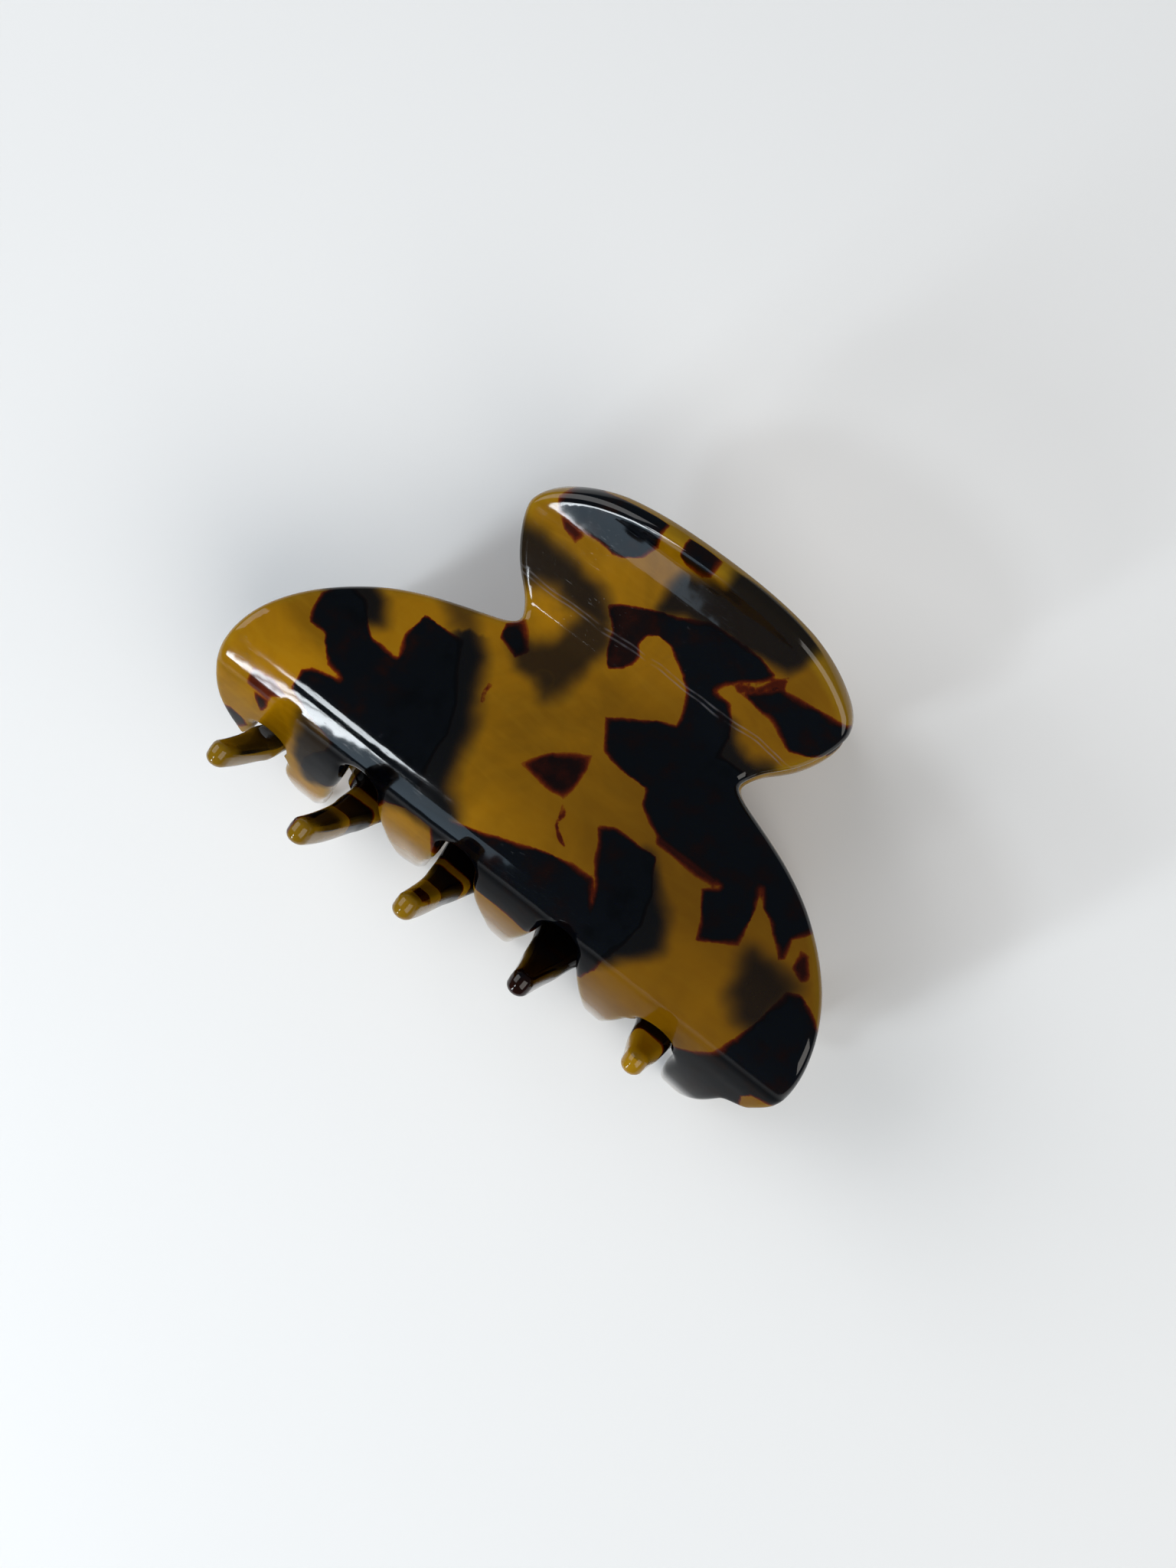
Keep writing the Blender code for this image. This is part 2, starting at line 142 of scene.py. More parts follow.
# The rim's rounding shrinks where the outline is too tight for it
REACH_ROUNDS = 60
REACH_SHRINK = 0.9
REACH_EVENING = 4
CLEAR_SHARE = 0.94
CLEAR_SLACK = 0.01
LEAST_KEPT_EDGE = 0.16
CLEANUP = 1e-6
# Points less deep than this share of the sheet take the outer face's chips
FRONT_SHARE = 0.7

# Chips of dark acetate in the sheet, as (outline in sheet millimetres, strength, fringe width).
# Strength 1 is black; below 0.6 the chip lets reddish-brown light through.
UPPER_CHIPS = (
    # Tab
    ([(-21, -14.6), (-19.6, -17.2), (-14, -20.4), (-7.6, -22), (-7.2, -18.6), (-7, -17.4),
      (-8.2, -14.6), (-10.2, -13.2), (-11.6, -12.7), (-14, -13), (-17.6, -12.6),
      (-20, -13)], 1.0, 0.5),
    ([(-20.4, -13.2), (-17, -13), (-15.6, -12.6), (-16.2, -11), (-18.4, -11.6)], 0.45, 0.8),
    ([(-4.8, -22), (-4.4, -18.4), (-3.4, -17.8), (-0.8, -17.6), (0.2, -18.6),
      (0.6, -22)], 0.85, 0.7),
    ([(-8.9, -7.1), (-7.4, -8.3), (-5.4, -9.5), (-2.4, -10.8), (-1, -8.2), (-2.6, -6.8),
      (-2.8, -5.4), (-1.9, -4.2), (-2, -2.8), (-3, -1.4), (-4.4, -0.3), (-5.2, -0.8), (-5.9, -2.2),
      (-6.6, -4.6)], 0.82, 0.45),
    ([(-3.4, -10.3), (-1, -11.3), (1, -12.4), (3, -13.4), (8, -13.8), (11, -13.4), (13, -12.8),
      (12.6, -11.4), (11.2, -10.2), (10, -9.4), (8.9, -7.8), (8.2, -6.6), (10.6, -6.4),
      (11.8, -4.8), (12.8, -2.8), (13.2, 0), (14, 3), (4.2, 3), (4.8, 1), (6.5, 0.2), (5.9, -2),
      (5, -4.3), (3.6, -5.4), (2, -6.5), (0.6, -7.6), (-1.4, -7.8), (-2.6, -8.4)], 1.0, 0.5),
    ([(10.4, -8.2), (12, -9.7), (13.4, -11.1), (14.6, -12), (17, -12.4), (20, -12.7), (22.6, -13.1),
      (26, -13), (26, -9), (22.8, -7.6), (21.2, -6.5), (19.4, -5.9), (17.4, -6.7), (15.8, -7.6),
      (13.4, -7.8)], 1.0, 0.6),
    ([(9, -8.8), (11.8, -10.2), (13, -12.4), (14.4, -14), (14.8, -12), (12.2, -9.4),
      (10.4, -8)], 0.35, 0.8),
    ([(-16.6, 0.6), (-15, 2), (-13.2, 4.2), (-14.2, 6), (-17.4, 5), (-18, 3)], 0.95, 0.9),
    # Right side of the flat face
    ([(-0.9, 5), (0.4, 3.8), (2.6, 2.4), (4.6, 0.9), (6.6, 0.1), (18, -0.4), (20, 2), (28, 4.6),
      (34.8, 9.6), (35, 11), (33.4, 13.2), (34, 15.6), (33.5, 16.5), (32.2, 15), (30, 13.2),
      (28.4, 12.2), (27, 10.5), (28.1, 14.4), (28.9, 17.8), (24.3, 20.7), (23, 17.6), (21, 15),
      (22.8, 13.4), (20, 13.4), (14, 13.5), (11.4, 12.6), (9.4, 11.2), (8.6, 9.3), (3.4, 9.2),
      (1.6, 8.6)], 1.0, 0.55),
    ([(12, 11.6), (22, 11.6), (23.6, 12.2), (22.4, 13.9), (20, 14.3), (13.6, 14.1)], 0.5, 0.9),
    ([(34.8, 13.4), (36.2, 13.4), (37.8, 15.8), (37, 16.8), (35.2, 16)], 0.62, 0.6),
    ([(36.3, 18.7), (38, 17.8), (40.4, 18.8), (43, 20.6), (47, 22), (47, 33), (43, 33.4),
      (41, 34.2), (40.2, 36.4), (41, 38.8), (40.4, 42), (40, 52), (25, 52), (25.6, 41), (27, 38.4),
      (30.4, 37), (32.4, 34), (34, 31), (34.6, 27.6), (35.6, 24), (36, 21)], 1.0, 0.6),
    # Middle
    ([(-5.1, 16.5), (-4.6, 15), (-3, 12.7), (-1, 11), (1, 9.9), (1.8, 12), (2, 15), (1.8, 16.6),
      (0, 17.1), (-2.4, 16.8)], 0.76, 1.0),
    ([(1.8, 16.8), (3.2, 18), (3.2, 19.6), (4.6, 20.6), (6, 21.4), (4.4, 21.2), (2.8, 20),
      (2.4, 18.6)], 0.4, 0.5),
    ([(-14.7, 10.3), (-13.9, 10.6), (-14, 12), (-13.4, 13), (-12.8, 13.8), (-13.8, 13.2),
      (-14.5, 11.8)], 0.55, 0.4),
    ([(6.7, 16.6), (8.6, 15.4), (14.7, 15.3), (16.2, 18), (17.2, 19.4), (18.4, 23), (18, 27),
      (17.2, 30.4), (16.8, 34), (16, 39), (14, 41), (13, 30), (12.4, 26), (11, 22.6), (9, 20.4),
      (8.3, 18.6)], 1.0, 0.5),
    ([(-7.4, 27.4), (-4, 26.1), (0, 24.5), (3.5, 23.2), (7.6, 22.1), (10.6, 22), (12, 24), (14, 27),
      (17, 30), (17, 34), (14, 36), (8.6, 35.6), (7.6, 38.4), (4, 37.4), (-3, 37), (-8, 39),
      (-8.8, 34), (-9.4, 30.6), (-14, 30.8), (-16, 32.6), (-17, 35), (-20, 33), (-16, 28.4),
      (-11, 28)], 1.0, 0.6),
    # Left
    ([(-37.8, 14.4), (-36, 11.4), (-33, 11.6), (-31, 13.8), (-29, 15.2), (-25.2, 15.2),
      (-26.5, 12.4), (-26.2, 8.6), (-20.4, 8.2), (-18.4, 11.6), (-15.6, 15.4), (-14, 19),
      (-13.6, 23), (-12.6, 27), (-13, 30.6), (-16, 32.8), (-17.4, 37), (-22, 40), (-26, 42),
      (-29.4, 41), (-29, 37.4), (-27.6, 34.4), (-26, 31.8), (-25.4, 29.6), (-29, 28.4),
      (-33.2, 26.6), (-33.2, 23.8), (-32.4, 22.7), (-28.8, 21.9), (-31, 21.4), (-33, 19.6),
      (-33.8, 18.6), (-36.2, 18.6), (-37.2, 17.2)], 1.0, 0.5),
    ([(-43.4, 41), (-41.2, 39.6), (-39, 40.2), (-38.4, 41.6), (-40, 44), (-43, 44)], 0.9, 0.6),
    ([(-37.6, 30.8), (-35, 30.6), (-35.2, 32.4), (-36.1, 34.8), (-37, 33)], 0.8, 0.7),
    ([(-38.8, 27.4), (-35.6, 27), (-33, 28), (-34.8, 29.6), (-35, 31), (-38.8, 30.6)], 0.4, 0.9),
    # Teeth
    ([(15, 53.4), (24, 52.6), (24, 57), (15, 58)], 0.95, 0.6),
    ([(-2, 57), (7, 55.6), (7, 60), (-2, 61)], 0.9, 0.6),
    ([(-17, 52.8), (-9, 54), (-9, 58), (-17, 57.4)], 1.0, 0.6),
    ([(-33, 53.6), (-25, 52.6), (-26, 57.4), (-33, 58.4)], 0.95, 0.6),
    ([(29, 59.4), (38, 58.8), (38, 66), (29, 66)], 0.85, 0.8),
)
# Chips that lie deep in the sheet and show blurred, as (outline, strength, blur width)
UPPER_CLOUDS = (
    ([(-25, -8.7), (-20, -9.2), (-17, -8.6), (-14, -8.2), (-10.8, -8), (-9.4, -7), (-7.8, -5.6),
      (-8, -4.2), (-12, -4.4), (-15, -5.2), (-17.6, -4.4), (-19.4, -3), (-23, -4)], 0.78, 1.5),
    ([(-11, -4.8), (-7.6, -5), (-6.4, -3), (-6.8, 0), (-6.8, 4), (-8.3, 7.6), (-10.6, 6.4),
      (-13, 6.6), (-15.6, 4.4), (-13, 3.4), (-11.6, 0), (-10.8, -3)], 0.7, 1.4),
    ([(-2.6, -16.4), (-0.8, -17.4), (2, -18.6), (2.4, -22), (13, -22), (15, -18.4), (14.6, -16.4),
      (13.6, -14.2), (8, -13), (0, -12.4), (-2.8, -11), (-3, -14)], 0.84, 1.1),
    ([(12, -4.4), (14, -2.6), (16, -1.8), (19, -2.6), (19, 3), (12, 3)], 0.88, 1.2),
    ([(30.6, 17.4), (36.6, 18), (37, 24), (34, 25), (31.4, 22.6)], 0.76, 1.7),
    ([(14, 16), (17, 18.4), (20, 21), (21.2, 24), (20, 26.6), (18, 28.6), (16, 32),
      (13, 28)], 1.0, 1.3),
    ([(-21, 6.6), (-17.6, 8.6), (-15.4, 13), (-12.8, 17), (-11.8, 21), (-10.6, 24.6), (-7.6, 27),
      (-9, 30), (-20, 32), (-22, 14)], 1.0, 1.8),
    ([(-38.6, 13), (-34.6, 10), (-31.4, 10.6), (-29.6, 13), (-32, 15)], 0.9, 1.3),
    ([(-25.4, 5), (-21.8, 4), (-20.4, 6.4), (-23, 7.4)], 0.5, 1.4),
    ([(-30, 29), (-24, 29), (-22, 38), (-28, 43), (-30.4, 39)], 0.8, 1.2),
)
# Chips that show on the lower jaw's teeth, through the whole sheet. The black blocks starting 34
# to 36 down the sheet are painted shade at their top, for the clip's shaded inside under the upper
# jaw; further down they are the sheet's own chips.
LOWER_TOOTH_CHIPS_AND_SHADE = [
    ([(16, 45.6), (24, 46.4), (24, 53.2), (16, 52.4)], 1.0, 0.5),
    ([(20.4, 57), (23, 56), (23, 67), (21, 66.6), (20.1, 61)], 0.85, 0.9),
    ([(16, 34), (24, 34), (24, 43.4), (16, 44)], 1.0, 0.5),
    ([(1, 46.6), (9, 46), (9, 52.6), (1, 53.4)], 0.95, 0.5),
    ([(3.3, 56.8), (5.8, 56.5), (6.2, 59.4), (4, 60.2)], 0.6, 0.6),
    ([(1, 36), (9, 36), (9, 44.4), (1, 45)], 1.0, 0.5),
    ([(-16, 34), (-6, 34), (-6, 51), (-9, 53.6), (-16, 52)], 1.0, 0.7),
    ([(-15, 50), (-7, 50), (-7, 59), (-15, 59)], 0.8, 1.0),
    ([(-32, 34), (-22, 34), (-22, 47), (-32, 48.4)], 0.95, 0.7),
]
# Chips on the faces that the photograph doesn't show, scattered at random:
# (count, size range, strength range, fringe or blur range)
BACK_CRISP = (30, (3.0, 7.0), (0.7, 1.0), (0.4, 0.9))
LOWER_FRONT_CRISP = (30, (3.0, 8.0), (0.75, 1.0), (0.4, 0.9))
SCATTER_CLOUDS = (14, (3.0, 6.0), (0.6, 0.9), (1.1, 1.8))
SCATTER_ACROSS = (-42, 42)
SCATTER_ALONG = (-20, 60)
SCATTER_CORNERS = (4, 8)
SCATTER_STRETCH = (0.5, 1.0)
SCATTER_CORNER_SHIFT = (-0.3, 0.3)
SCATTER_REACH = (0.7, 1.15)
# On the lower jaw they stay above the teeth, whose chips are listed
CRISP_LIMIT = 42
CLOUD_LIMIT = 40
UPPER_SEED = 11
LOWER_SEED = 37
LOWER_FRONT_SEED = 23
FAR_AWAY = 30.0

# Studs seen as faint marks through the sheet
STUD_X = 9.7
STUD_ALONG = 5.9
STUD_RADIUS = 1.25
STUD_RING_FADE = 0.35

# A painted double highlight along the bend: its place is -BEND_LINE less a wander of 0 to BEND_WANDER
BEND_LINE = 3.05
BEND_WANDER = 2.4
BEND_LINE_APART = 0.3
BEND_LINE_FADE = 0.2

# Acetate: colours, and what a chip lets through at each share of full thickness
AMBER_SHADE = (0.220, 0.100, 0.0004, 1)
AMBER_LIGHT = (0.335, 0.152, 0.0008, 1)
AMBER_STREAK = (0.36, 0.19, 0.008, 1)
# Painted shade, darkening the right side of the sheet
AMBER_RIGHT_SHADE_PAINT = (0.105, 0.042, 0.0010, 1)
# Painted glow at the rim, where light comes in through the rounded edge
AMBER_RIM_GLOW = (0.30, 0.19, 0.006, 1)
CLOUD_DARK = (0.0035, 0.0032, 0.0032, 1)
STUD_MARK = (0.05, 0.025, 0.002, 1)
CHIP_BLACK = (0.0012, 0.0016, 0.0026, 1)
# Painted highlight along the bend
BEND_SHEEN_PAINT = (0.20, 0.19, 0.20, 1)
CHIP_FILTER = (
    (0.0, (1.0, 1.0, 1.0)),
    (0.06, (0.80, 0.50, 0.30)),
    (0.22, (0.42, 0.11, 0.02)),
    (0.45, (0.15, 0.032, 0.01)),
    (0.72, (0.035, 0.012, 0.008)),
    (1.0, (0.006, 0.006, 0.010)),
)
# Across the sheet, where the painted shade on the right begins and where it is full
RIGHT_SHADE_SPAN = (-30.0, 24.0)
RIM_GLOW_REACH = 1.8
STREAK_SCALE = (0.12, 0.5, 0.3)
SCRATCH_TURN = (0, 0, 0.5)
SCRATCH_SCALE = (0.35, 9.0, 1.0)
WAVE_HEIGHT = 0.06
SCRATCH_DEPTH = 0.002
ROUGHNESS = (0.045, 0.10)
# Specular level down the sheet: flat face, belly, lobes between the teeth, teeth
FLAT_SPECULAR = 0.36
BELLY_SPECULAR = 0.015
LOBE_SPECULAR = 0.02
TOOTH_SPECULAR = 0.30
BELLY_FADE = (28.8, 31.0)
LOBE_FADE = (34.0, 44.0)
TOOTH_FADE = (46.0, 51.0)
ACETATE_IOR = 1.49
SCATTER_SHARE = 0.12
SCATTER_RADIUS = (1.0, 0.42, 0.03)
SCATTER_DEPTH = 1.4 * MM

# Steel: colour, roughness range, grain scale along each axis
NICKEL = ((0.66, 0.63, 0.59), (0.16, 0.30), (300, 4200, 4200))
SPRING_STEEL = ((0.55, 0.55, 0.56), (0.20, 0.34), (500, 2600, 2600))
STEEL_SHADE = 0.55
STEEL_PATCH_SCALE = 420.0
STEEL_SPECK_SCALE = 2600.0
STEEL_SPECK = (0.10, 0.09, 0.08, 1)
STEEL_GRAIN_HEIGHT = 0.02 * MM
EDGE_ROUND = 0.06 * MM
EDGE_ANGLE = radians(40)

# Spring
WIRE_RADIUS = 0.45
COIL_RADIUS = 2.1
COIL_HALF_LENGTH = 3.75
COIL_TURNS = 3
LEG_LEAN = radians(40.2)
COIL_END_TURN = COIL_TURNS * tau - (pi / 2 - LEG_LEAN)
LEG_LENGTH = 11.6
FOOT_LENGTH = 3.0
FOOT_CORNER = 0.7
POINTS_PER_TURN = 48
WIRE_SIDES = 16
WIRE_END_DOME = 0.3
LEAST_NORMAL = 1e-3
CORNER_STEPS = 8

# Camera and light
TARGET = (1.6, -2.3, 20.0)
CAMERA_DISTANCE = 197.39
CAMERA_TURN = (-0.596, 8.633, 37.183)
CAMERA_LENS = 35.66
CAMERA_CLIP = (0.01, 20)
FLOOR_HALF = 3.0
FLOOR_GAP = 0.12 * MM
FLOOR_PALE = ((0.83, 0.83, 0.83, 1), (0.845, 0.845, 0.845, 1))
# Painted shade on the far floor, and in metres from the clip where it begins and is full
FLOOR_PAINTED_SHADE = (0.46, 0.47, 0.48, 1)
FLOOR_SHADE_SPAN = (0.16, 0.70)
FLOOR_ROUGHNESS = 0.6
WORLD_COLOUR = (0.62, 0.80, 1.0, 1)
WORLD_STRENGTH = 0.13
WINDOW_COLOUR = (0.88, 0.95, 1.0)
WALL_COLOUR = (0.62, 0.82, 1.0)
WARM_COLOUR = (1.0, 0.96, 0.90)
NEUTRAL_COLOUR = (0.97, 0.97, 0.97)
# Soft boxes: (name, azimuth and elevation in degrees, distance, width and height in metres,
# power in watts, colour)
LIGHTS = (
    ("window_left_pane", -113.4, 25, 0.6, 0.014, 0.27, 0.36, WINDOW_COLOUR),
    ("window_right_pane", -110.2, 25, 0.6, 0.032, 0.27, 0.80, WINDOW_COLOUR),
    ("window_top_pane", -117.0, 50, 0.6, 0.070, 0.08, 0.42, WINDOW_COLOUR),
    ("lit_wall", -103.6, 20, 0.6, 0.10, 0.30, 0.17, WALL_COLOUR),
    ("right_box", -8, 48, 1.5, 1.2, 1.2, 14.5, WARM_COLOUR),
    ("left_box", 176, 42, 1.5, 1.2, 1.2, 12.5, NEUTRAL_COLOUR),
)


def clip_frame():
    """The clip's axes in the row frame, from the hinge joint and the flat outer face's mount."""
    joint = frame["joints"][0]
    normal = frame["record"]["mounts"][0]["axis"]
    tilt = BODY_ANGLE - atan2(normal[1], normal[2])
    return Matrix.Translation(joint["pos_m"]) @ Matrix.Rotation(tilt, 4, "X") @ Matrix.Scale(MM, 4)


def sheet_sections():
    """(length, turn) of each stretch of the outer face, from the crease up the tab and down."""
    flare = TAB_FLARE_RADIUS * TAB_FLARE_TURN
    half_crease = CREASE_RADIUS * CREASE_TURN
    belly = BELLY_RADIUS * BELLY_TURN
    up = [
        (half_crease, -CREASE_TURN),
        (TAB_LEG, 0.0),
        (flare, -TAB_FLARE_TURN),
        (-TAB_END - half_crease - TAB_LEG - flare, 0.0),
    ]
    tooth = TOOTH_END - half_crease - BODY_FLAT - belly
    down = [
        (half_crease, CREASE_TURN),
        (BODY_FLAT, 0.0),
        (belly, -BELLY_TURN),
        (tooth, -tooth / TOOTH_CURVE_RADIUS),
    ]
    return up, down


def walk(sections, way):
    """Stations (along, y, z, angle) down the outer face for way 1, or up it for way -1."""
    along = 0.0
    angle = CREASE_ANGLE
    y = CREASE_Y
    z = CREASE_Z
    found = []
    for length, turn in sections:
        steps = max(1, round(abs(turn) / STATION_TURN))
        for _ in range(steps):
            middle = angle + turn / steps / 2
            y -= way * length / steps * cos(middle)
            z += way * length / steps * sin(middle)
            angle += turn / steps
            along += way * length / steps
            found.append((along, y, z, angle))
    return found


def sheet_stations():
    """Stations (along, y, z, angle) from the tab's end to the teeth's."""
    up, down = sheet_sections()
    start = (0.0, CREASE_Y, CREASE_Z, CREASE_ANGLE)
    return np.array(walk(up, -1)[::-1] + [start] + walk(down, 1))


def eased(value, start, end):
    """0 before start, 1 after end, and a smooth step between."""
    share = np.clip((value - start) / (end - start), 0, 1)
    return share * share * (3 - 2 * share)


def bent(stations, sheet, teeth):
    """Where points (across, along, depth) of the flat sheet go once the sheet is bent."""
    across, along, depth = sheet.T
    y = np.interp(along, stations[:, 0], stations[:, 1])
    z = np.interp(along, stations[:, 0], stations[:, 2])
    angle = np.interp(along, stations[:, 0], stations[:, 3])
    centres = [tooth[0] for tooth in reversed(teeth)]
    sags = [tooth[5] for tooth in reversed(teeth)]
    sag = np.interp(across, centres, sags) * eased(along, SAG_TOP, SAG_BOTTOM)
    y = y - depth * np.sin(angle) - sag
    z = z - depth * np.cos(angle)
    return np.column_stack((across, y, z))


def knot(across, along, heading, before, after):
    """An outline point, its heading (0 along +x, 90 down the sheet) and its two handle lengths."""
    direction = np.array((cos(radians(heading)), sin(radians(heading))))
    centre = np.array((across, along), float)
    return centre, centre - before * direction, centre + after * direction


def mirrored(knots):
    """The same knots on the other side, in the opposite order."""
    flip = np.array((-1, 1))
    backwards = reversed(knots)
    return [(centre * flip, after * flip, before * flip) for centre, before, after in backwards]


def side_knots():
    """The right side of the outline, from beside the tab's top to the widest part of the jaw."""
    return [
        knot(20.6, -15.45, 33, TAB_TOP_HANDLE, 1.4),
        knot(24.0, -11.25, 92, 1.9, 1.5),
        knot(21.6, -4.75, 122, 2.95, 2.55),
        knot(17.2, 0.9, 90, 0.9, 0.9),
        knot(19.9, 2.85, 20, 1.0, 4.2),
        knot(33.9, 9.6, 39, 5.6, 4.4),
        knot(41.7, 19.0, 66, 3.9, 3.4),
        knot(44.1, 30.0, 90, 4.2, 3.4),
    ]


def tooth_side(tooth, side, shoulder_along):
    """One side of a tooth, from its shoulder down to its tip, for side 1 or -1 of its centre."""
    centre, shoulder, neck, lean, end, _ = tooth
    tip = end - TIP_HALF_WIDTH
    middle = min(NECK_ALONG, tip - SHORTEST_TOOTH_SIDE)
    neck_across = centre + lean / 2 + side * neck
    tip_across = centre + lean + side * TIP_HALF_WIDTH
    return [
        knot(centre + side * shoulder, shoulder_along, 90 + side * 12 - 3 * lean, 1.6, 2.0),
        knot(neck_across, middle, 90 + side * 10 - 3 * lean, 2.4, 2.4),
        knot(tip_across, tip, 90 + side * 4 - lean, (tip - middle) / 3, 0.8),
    ]


def tooth_knots(tooth, left_shoulder):
    """Round a tooth from its right shoulder by the tip to its left shoulder."""
    centre, _, _, lean, end, _ = tooth
    tip = knot(centre + lean, end, 180, TIP_HANDLE, TIP_HANDLE)
    left = tooth_side(tooth, -1, left_shoulder)
    left = [(middle, after, before) for middle, before, after in reversed(left)]
    return tooth_side(tooth, 1, SHOULDER_ALONG) + [tip] + left


def gap_knots(centre, half_width, top, height):
    """The round top of a gap, from right to left."""
    across = CIRCLE_HANDLE * half_width
    down = CIRCLE_HANDLE * height
    return [
        knot(centre + half_width, top + height, -90, 0.8, down),
        knot(centre, top, 180, across, across),
        knot(centre - half_width, top + height, 90, down, 0.8),
    ]


def comb_knots(teeth, left_gap, corner):
    """The toothed edge from right to left: five teeth, a gap left of each, and the left corner."""
    tops = [RIGHT_GAP_TOP] + [GAP_TOP] * (len(teeth) - 2)
    gaps = []
    for right, left, top in zip(teeth, teeth[1:], tops):
        gaps.append(((right[0] + left[0]) / 2, GAP_HALF_WIDTH, top, GAP_HALF_WIDTH))
    knots = [knot(42.4, 38.6, 112, 4.0, 1.8)]
    for tooth, gap in zip(teeth, gaps + [left_gap]):
        knots += tooth_knots(tooth, max(SHOULDER_ALONG, gap[2] + gap[3] + 1.2))
        knots += gap_knots(*gap)
    (stub, stub_end), (side, side_along) = corner
    knots += [
        knot(stub, stub_end, 170, 1.0, 1.2),
        knot(side, side_along, -104, 2.6, 3.0),
    ]
    return knots


def outline_points(knots, spacing):
    """Points about evenly spaced along a closed run of Bezier knots."""
    found = []
    for (start, _, leave), (end, arrive, _) in zip(knots, knots[1:] + knots[:1]):
        length = sum(np.linalg.norm(leg) for leg in (leave - start, arrive - leave, end - arrive))
        count = max(3, ceil(length / spacing))
        for share in np.arange(count) / count:
            rest = 1 - share
            near = rest**3 * start + 3 * rest**2 * share * leave
            found.append(near + 3 * rest * share**2 * arrive + share**3 * end)
    return np.array(found)


def unit(vectors):
    """The rows of an array, each scaled to length 1."""
    return vectors / np.linalg.norm(vectors, axis=1)[:, None]


def inward_offsets(points):
    """For each outline point, its inward direction and how far the rim's rounding may reach in."""
    ahead = np.roll(points, -1, 0) - points
    heading = unit(ahead) + unit(points - np.roll(points, 1, 0))
    for _ in range(2):
        heading = np.roll(heading, 1, 0) + 2 * heading + np.roll(heading, -1, 0)
    heading = unit(heading)
    inward = np.column_stack((-heading[:, 1], heading[:, 0]))
    reach = np.full(len(points), RIM_ROUND)
    step = 0.5 * np.linalg.norm(ahead, axis=1)
    for _ in range(REACH_ROUNDS):
        inner = points + inward * reach[:, None]
        clear = -outline_distance(inner, points)
        kept = ((np.roll(inner, -1, 0) - inner) * ahead).sum(1) / (ahead * ahead).sum(1)
        tight = (clear < CLEAR_SHARE * reach - CLEAR_SLACK) | (kept < LEAST_KEPT_EDGE)
        if not tight.any():
            break
        tight |= np.roll(tight, 1) | np.roll(tight, 2) | np.roll(tight, -1)
        reach = np.where(tight, REACH_SHRINK * reach, reach)
        for _ in range(REACH_EVENING):
            before = np.roll(reach, 1) + np.roll(step, 1)
            reach = np.minimum(reach, np.minimum(before, np.roll(reach, -1) + step))
    return inward, reach


def outline_distance(points, outline):
    """Distance of each point from a closed outline, negative inside."""
    nearest = np.full(len(points), np.inf)
    inside = np.zeros(len(points), bool)
    for start, end in zip(outline, np.roll(outline, -1, 0)):
        edge = end - start
        offset = points - start
        share = np.clip(offset @ edge / max(edge @ edge, 1e-12), 0, 1)
        nearest = np.minimum(nearest, ((offset - share[:, None] * edge) ** 2).sum(1))
        crosses = (start[1] > points[:, 1]) != (end[1] > points[:, 1])
        rise = edge[1] if abs(edge[1]) > 1e-12 else 1e-12
        inside ^= crosses & (points[:, 0] < start[0] + (points[:, 1] - start[1]) * edge[0] / rise)
    return np.where(inside, -1, 1) * np.sqrt(nearest)


def grid_rows():
    """Rows down the sheet, closer together where it is bent."""
    rows = [TAB_END + 0.4]
    half_crease = CREASE_RADIUS * CREASE_TURN
    belly_top = half_crease + BODY_FLAT
    belly_end = belly_top + BELLY_RADIUS * BELLY_TURN
    while rows[-1] < TOOTH_END:
        along = rows[-1]
        step = GRID_ALONG
        if abs(along) < half_crease + BEND_BORDER:
            step = CREASE_ROWS
        elif belly_top - BEND_BORDER < along < belly_end + BEND_BORDER:
            step = BELLY_ROWS
        elif along < -half_crease - TAB_LEG + BEND_BORDER:
            step = BELLY_ROWS
        rows.append(along + step)
    return rows


def staggered_grid(inner):
    """Points inside the rim's inner loop, each row shifted half a column against the last."""
    columns = np.arange(-GRID_EDGE, GRID_EDGE, GRID_ACROSS)
    shifts = (0.0, GRID_ACROSS / 2)
    rows = enumerate(grid_rows())
    grid = np.array([(x + shifts[i % 2], row) for i, row in rows for x in columns])
    return grid[outline_distance(grid, inner) < -GRID_MARGIN]


